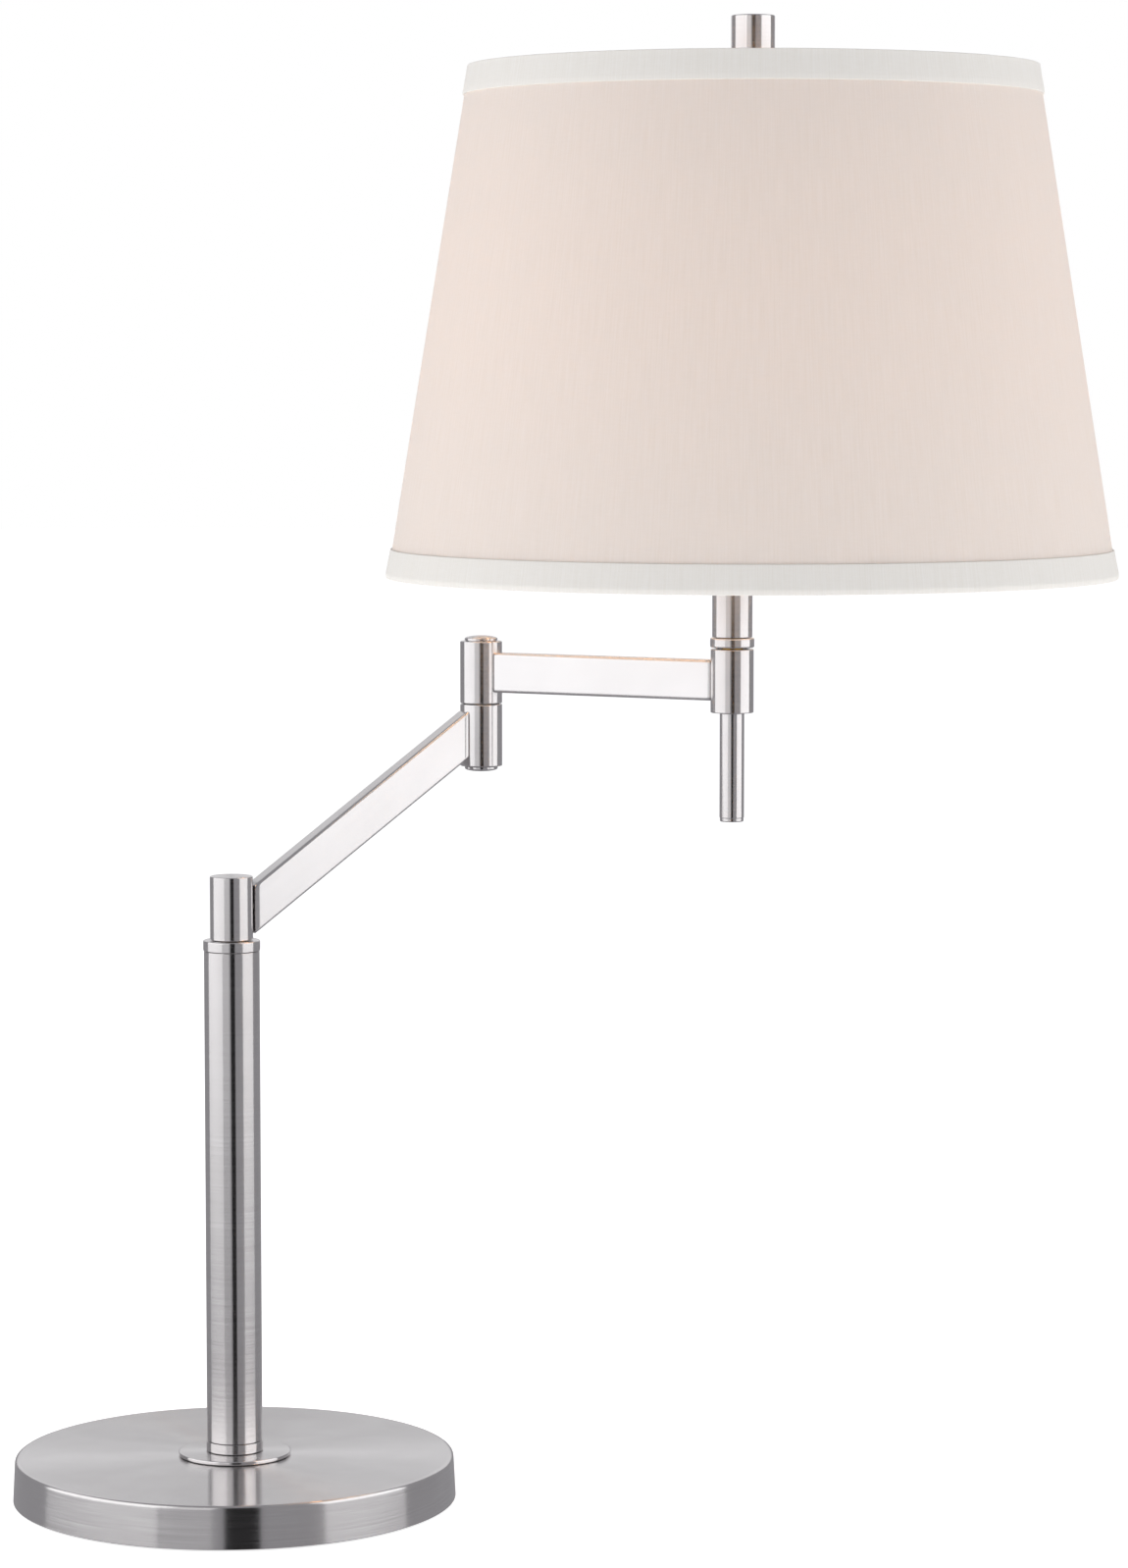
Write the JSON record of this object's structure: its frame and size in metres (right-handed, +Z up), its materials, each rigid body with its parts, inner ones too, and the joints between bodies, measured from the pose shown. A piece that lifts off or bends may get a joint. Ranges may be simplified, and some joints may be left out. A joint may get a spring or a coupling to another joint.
{
  "type": "swing-arm table lamp",
  "caption": "Brushed metal table lamp: weighted round base, upright pole, two hollow swing arms on vertical swivels, tapered drum shade on a harp.",
  "frame": {"origin": "centre of the base's underside, where the lamp stands on the table", "axes": "+Z up along the pole, +X towards the side the arms reach to, +Y towards the base's cord outlet at the back"},
  "size_m": [0.5039, 0.3318, 0.6758],
  "materials": {
    "brushed_nickel": "spun and brushed steel, satin nickel plated",
    "cast_iron": "as cast, painted black",
    "felt": "pressed felt",
    "black_plastic": "moulded phenolic",
    "zinc_steel": "zinc plated",
    "brass": "drawn brass",
    "nylon": "natural nylon",
    "lead_sheath": "flexible sheath",
    "shade_fabric": "slubbed off-white fabric on a stiff lining",
    "shade_trim": "folded fabric tape",
    "opal_glass": "opal coated inside"
  },
  "bodies": {
    "base": {"base_cover": "brushed_nickel", "base_weight": "cast_iron", "base_pad": "felt", "cord_outlet": "black_plastic", "pipe_nut": "zinc_steel", "pipe_washer": "zinc_steel", "pole_pipe": "zinc_steel", "pole_flange": "brushed_nickel", "pole_low_ring": "brushed_nickel", "pole_tube": "brushed_nickel", "pole_top_collar": "brushed_nickel", "pole_stud": "brass", "lead_in_pole": "lead_sheath"},
    "lower_arm_body": {"pole_barrel": "brushed_nickel", "pole_bushing": "nylon", "pole_grub_screw": "zinc_steel", "lower_arm": "brushed_nickel", "elbow_lower_barrel": "brushed_nickel", "elbow_stud": "brass", "elbow_washer": "nylon", "elbow_bottom_cap": "brushed_nickel", "lead_in_lower_arm": "lead_sheath"},
    "upper_arm_body": {"elbow_upper_barrel": "brushed_nickel", "elbow_bushing": "nylon", "elbow_top_cap": "brushed_nickel", "elbow_grub_screw": "zinc_steel", "upper_arm": "brushed_nickel", "head_barrel": "brushed_nickel", "head_bushing": "nylon", "head_grub_screw": "zinc_steel", "handle_rod": "brushed_nickel", "rod_nut": "zinc_steel", "lead_in_upper_arm": "lead_sheath"},
    "head": {"neck_pipe": "brass", "neck_ring": "brushed_nickel", "neck_tube": "brushed_nickel", "socket_cap": "brass", "socket_shell": "brass", "socket_body": "black_plastic", "screw_shell": "brass", "lead_in_neck": "lead_sheath", "bulb_cap": "zinc_steel", "bulb_glass": "opal_glass", "harp_saddle": "zinc_steel", "harp_sleeve_left": "brass", "harp_sleeve_right": "brass", "harp_wire": "brass", "harp_stud": "brass", "shade_shell": "shade_fabric", "shade_top_trim": "shade_trim", "shade_bottom_trim": "shade_trim", "shade_bottom_ring": "zinc_steel", "shade_spider": "zinc_steel", "finial": "brushed_nickel"},
    "switch": {"switch_shaft": "brass", "switch_knob": "black_plastic"}
  },
  "joints": [
    {"name": "pole_swivel", "type": "hinge", "parent": "base", "child": "lower_arm_body", "pos_m": [0, 0, 0.2733], "axis": [0, 0, 1], "range_deg": [-165, 165]},
    {"name": "elbow_swivel", "type": "hinge", "parent": "lower_arm_body", "child": "upper_arm_body", "pos_m": [0.11281, 0.06461, 0.3618], "axis": [0, 0, 1], "range_deg": [-110, 225]},
    {"name": "head_swivel", "type": "hinge", "parent": "upper_arm_body", "child": "head", "pos_m": [0.22791, 0.00418, 0.3915], "axis": [0, 0, 1], "range_deg": [-170, 170]},
    {"name": "switch_turn", "type": "hinge", "parent": "head", "child": "switch", "pos_m": [0.22791, -0.03532, 0.4509], "axis": [0, -1, 0], "continuous": true}
  ]
}
